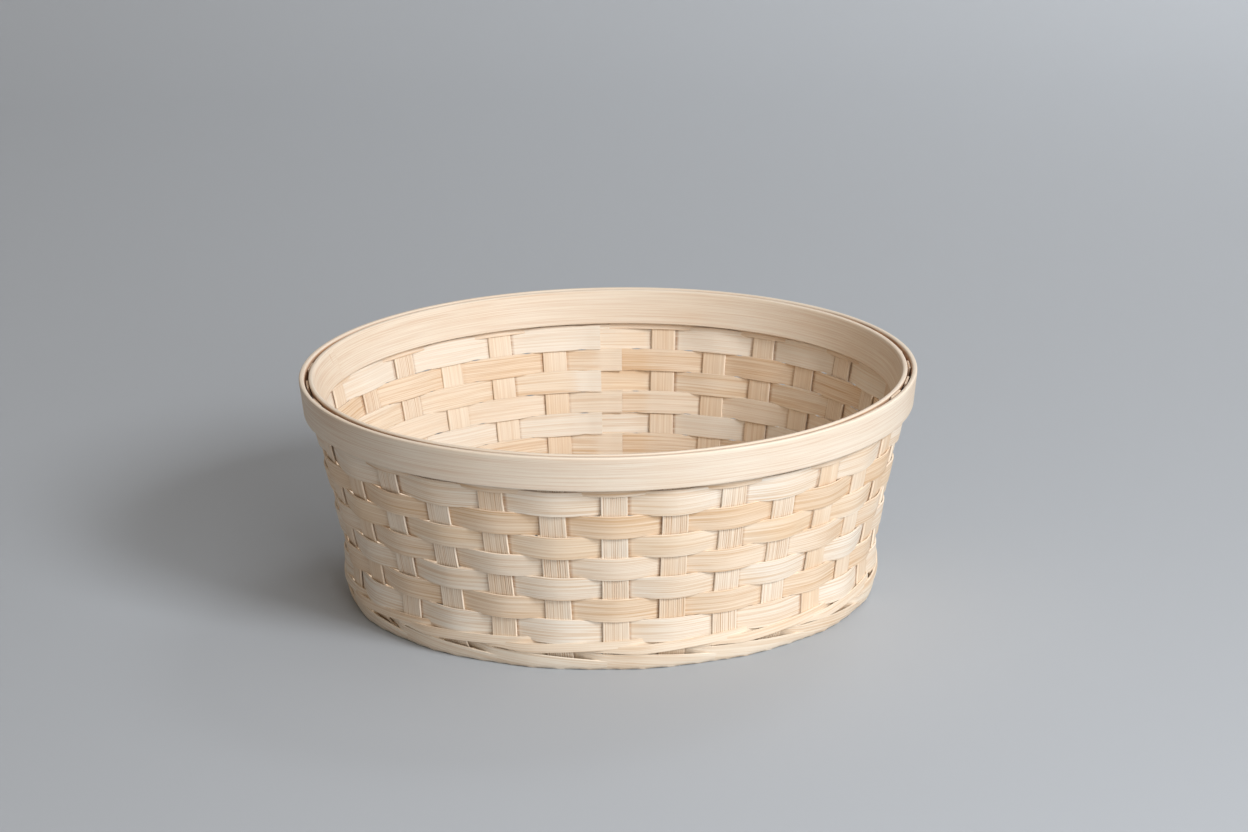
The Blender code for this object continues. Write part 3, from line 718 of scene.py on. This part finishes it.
def hoop_piece(node, radius_at_row, radius_at_top, outer, joint, tone):
    """A bent band with rounded edges.

    The outer scarf shows as a line, the inner one as a short tick near the top.
    """
    _, row_height, _, _ = profile(TOP_ROW_EDGE)
    slope = (radius_at_top - radius_at_row) / (BASKET_HEIGHT - row_height)
    shift = HOOP_THICKNESS / 2 if outer else -HOOP_THICKNESS / 2
    share = np.array(HOOP_SHARES)
    z = BASKET_HEIGHT - HOOP_HEIGHT * (1 - share)
    # even steps round the hoop, and close ones at the joint
    around = np.unique(np.concatenate([np.linspace(0, 2 * math.pi, 721)[:-1], np.linspace(0.0, 0.06, 61)]))
    angle = around + joint
    rings, cols = len(angle), len(z)
    radial = outward_at(angle)[:, None, :]
    mid = radial * (radius_at_top + slope * (z - BASKET_HEIGHT) + shift)[:, None]
    mid[..., 2] = z
    rounding = np.where(share < 0.5, BOTTOM_ROUNDING, TOP_ROUNDING)
    fall = np.clip(1 - np.minimum(share, 1 - share) * HOOP_HEIGHT / rounding, 0, 1)
    # the rounded edges are a little thinner than half as thick
    half = HOOP_THICKNESS / 2 * (1 - 0.62 * (1 - np.sqrt(1 - fall**2 * 0.985)))
    wave = (0.025 * MM * np.sin(angle * 9 + 8) + 0.015 * MM * np.sin(angle * 23))[:, None]  # not quite round
    distance = np.abs(around[:, None] - 0.012 - 0.035 * share) * RIM_DIAMETER / 2
    mark = np.clip(1 - distance / (0.5 * MM), 0, 1)
    if not outer:
        mark = mark * smooth((share - 0.6) / 0.1) * smooth((0.9 - share) / 0.04)
    out_cut = SCARF_CUT * mark if outer else 0.0
    in_cut = 0.0 if outer else TICK_CUT * mark
    outer_face = mid + radial * (half + wave - out_cut)[..., None]
    inner_face = mid - radial * (half - wave - in_cut)[..., None]
    points = np.concatenate([outer_face, inner_face[:, ::-1]], 1)
    k = 2 * cols
    index = np.arange(rings * k).reshape(rings, k)
    following = np.roll(index, -1, 0)
    corners = [index, np.roll(index, -1, 1), np.roll(following, -1, 1), following]
    faces = np.stack(corners, -1).reshape(-1, 4)[:, ::-1]
    mesh = bpy.data.meshes.new(f"{node}_wood")
    mesh.from_pydata(points.reshape(-1, 3).tolist(), [], faces.tolist())
    mesh.update()
    shape = (rings, cols)
    across = 1.5 * z  # finer grain than the weavers'
    along = (around * RIM_DIAMETER / 2)[:, None]
    seeds = rng.uniform(0, SEEDS) + both_faces(shape, 0.0, INNER_SEED)
    grain = np.stack([both_faces(shape, along), both_faces(shape, across), seeds], -1)
    # the top edge: a paler cut edge with a painted highlight
    rim = np.zeros(cols)
    rim[[-1, -2]] = 0.8
    hidden = smooth((0.97 - share) / 0.04) * 0.9  # painted shade on the face turned to the other hoop, in the gap between the hoops
    shown = mark * 0.7
    painted_shade_and_joint_line = both_faces(shape, shown, hidden) if outer else both_faces(shape, hidden, shown)
    shade = np.stack([both_faces(shape, tone), both_faces(shape, rim), painted_shade_and_joint_line], -1)
    add_piece(mesh, node, "hoop_wood", grain, shade)


row_radius, _, _, row_up = profile(TOP_ROW_EDGE)
layers = (UPRIGHT_THICKNESS / 2 + 2 * CLEARANCE + WEAVER_THICKNESS) / row_up
top_layers = UPRIGHT_THICKNESS / 2 + CLEARANCE
hoop_piece(
    "outer_hoop", math.hypot(row_radius + layers, PLATEAU),
    math.hypot(RIM_UPRIGHT_RADIUS + top_layers, UPRIGHT_WIDTH / 2), True, OUTER_JOINT, 0.25,
)
hoop_piece("inner_hoop", row_radius - layers, RIM_UPRIGHT_RADIUS - top_layers, False, INNER_JOINT, 0.3)


# ------------------------------------------------------------ floor, light and camera
FLOOR_FRONT, FLOOR_BACK, FLOOR_SIDE = -2.4, 0.9, 4.0
FLOOR_CURVE, WALL_TOP = 0.9, 3.2


def stage_floor():
    """A seamless grey floor that curves up behind the basket."""
    flat = [(FLOOR_FRONT, 0.0), (FLOOR_BACK, 0.0)]
    turn = np.linspace(0, math.pi / 2, 17)[1:]
    curve = [(FLOOR_BACK + FLOOR_CURVE * math.sin(a), FLOOR_CURVE - FLOOR_CURVE * math.cos(a)) for a in turn]
    line = flat + curve + [(FLOOR_BACK + FLOOR_CURVE, WALL_TOP)]
    verts = [(x, y, z) for y, z in line for x in (-FLOOR_SIDE, FLOOR_SIDE)]
    faces = [(2 * n, 2 * n + 1, 2 * n + 3, 2 * n + 2) for n in range(len(line) - 1)]
    mesh = bpy.data.meshes.new("studio_floor")
    mesh.from_pydata(verts, [], faces)
    mesh.polygons.foreach_set("use_smooth", np.ones(len(faces), bool))
    material = bpy.data.materials.new("studio_paper")
    material.use_nodes = True
    shader = material.node_tree.nodes["Principled BSDF"]
    shader.inputs["Base Color"].default_value = (0.428, 0.465, 0.508, 1.0)
    shader.inputs["Roughness"].default_value = 0.75
    shader.inputs["Specular IOR Level"].default_value = 0.25
    mesh.materials.append(material)
    floor = bpy.data.objects.new("studio_floor", mesh)
    bpy.context.scene.collection.objects.link(floor)


def area_light(name, place, target, size, power, colour, spread=180.0):
    data = bpy.data.lights.new(name, "AREA")
    data.shape = "RECTANGLE"
    data.size, data.size_y = size
    data.energy = power
    data.color = colour
    data.spread = math.radians(spread)
    light = bpy.data.objects.new(name, data)
    light.location = place
    light.rotation_mode = "QUATERNION"
    light.rotation_quaternion = (Vector(target) - Vector(place)).to_track_quat("-Z", "Y")
    bpy.context.scene.collection.objects.link(light)


stage_floor()
area_light("key", (1.04, -1.09, 1.05), (0.0, 0.0, 0.04), (0.55, 0.55), 23.0, (0.99, 0.99, 1.0))
area_light("backdrop", (0.95, 1.5, 1.6), (0.95, 1.55, 0.0), (0.8, 0.8), 12.5, (1.0, 1.0, 1.0), spread=120.0)
area_light("front_fill", (0.65, -1.45, 0.62), (0.0, 0.0, 0.04), (0.9, 0.7), 10.5, (1.0, 1.0, 1.0))
area_light("overhead", (0.1, 0.2, 1.5), (0.0, 0.0, 0.0), (1.4, 1.2), 2.0, (1.0, 1.0, 1.0))
world = bpy.data.worlds.new("studio")
world.use_nodes = True
background = world.node_tree.nodes["Background"]
background.inputs["Color"].default_value = (1.0, 0.83, 0.67, 1.0)
background.inputs["Strength"].default_value = 0.30
bpy.context.scene.world = world
bpy.context.scene.view_settings.view_transform = "Standard"

CAMERA_DISTANCE = 1.582
CAMERA_TURN = math.radians(-0.69)
ELEVATION, PAN, TILT, ROLL = (math.radians(a) for a in (17.55, 0.215, 0.819, -1.02))
FOCAL_PIXELS, IMAGE_WIDTH = 4038.0, 1248.0


def turned(one, other, angle):
    """Two square directions turned by an angle in their plane."""
    return (
        math.cos(angle) * one + math.sin(angle) * other,
        math.cos(angle) * other - math.sin(angle) * one,
    )


def place_camera():
    """Aim at the middle of the basket, then pan, tilt and roll to the photograph's framing."""
    turn = Matrix.Rotation(CAMERA_TURN, 3, "Z")
    forward = turn @ Vector((0, math.cos(ELEVATION), -math.sin(ELEVATION)))
    side = turn @ Vector((1, 0, 0))
    up = turn @ Vector((0, math.sin(ELEVATION), math.cos(ELEVATION)))
    place = Vector((0, 0, BASKET_HEIGHT / 2)) - forward * CAMERA_DISTANCE
    forward, side = turned(forward, side, PAN)
    forward, up = turned(forward, up, TILT)
    side, up = turned(side, up, ROLL)
    data = bpy.data.cameras.new("camera")
    data.sensor_width = 36.0
    data.lens = FOCAL_PIXELS / IMAGE_WIDTH * data.sensor_width
    data.clip_start, data.clip_end = 0.05, 20.0
    camera = bpy.data.objects.new("camera", data)
    camera.matrix_world = Matrix.Translation(place) @ Matrix((side, up, -forward)).transposed().to_4x4()
    bpy.context.scene.collection.objects.link(camera)
    bpy.context.scene.camera = camera


place_camera()
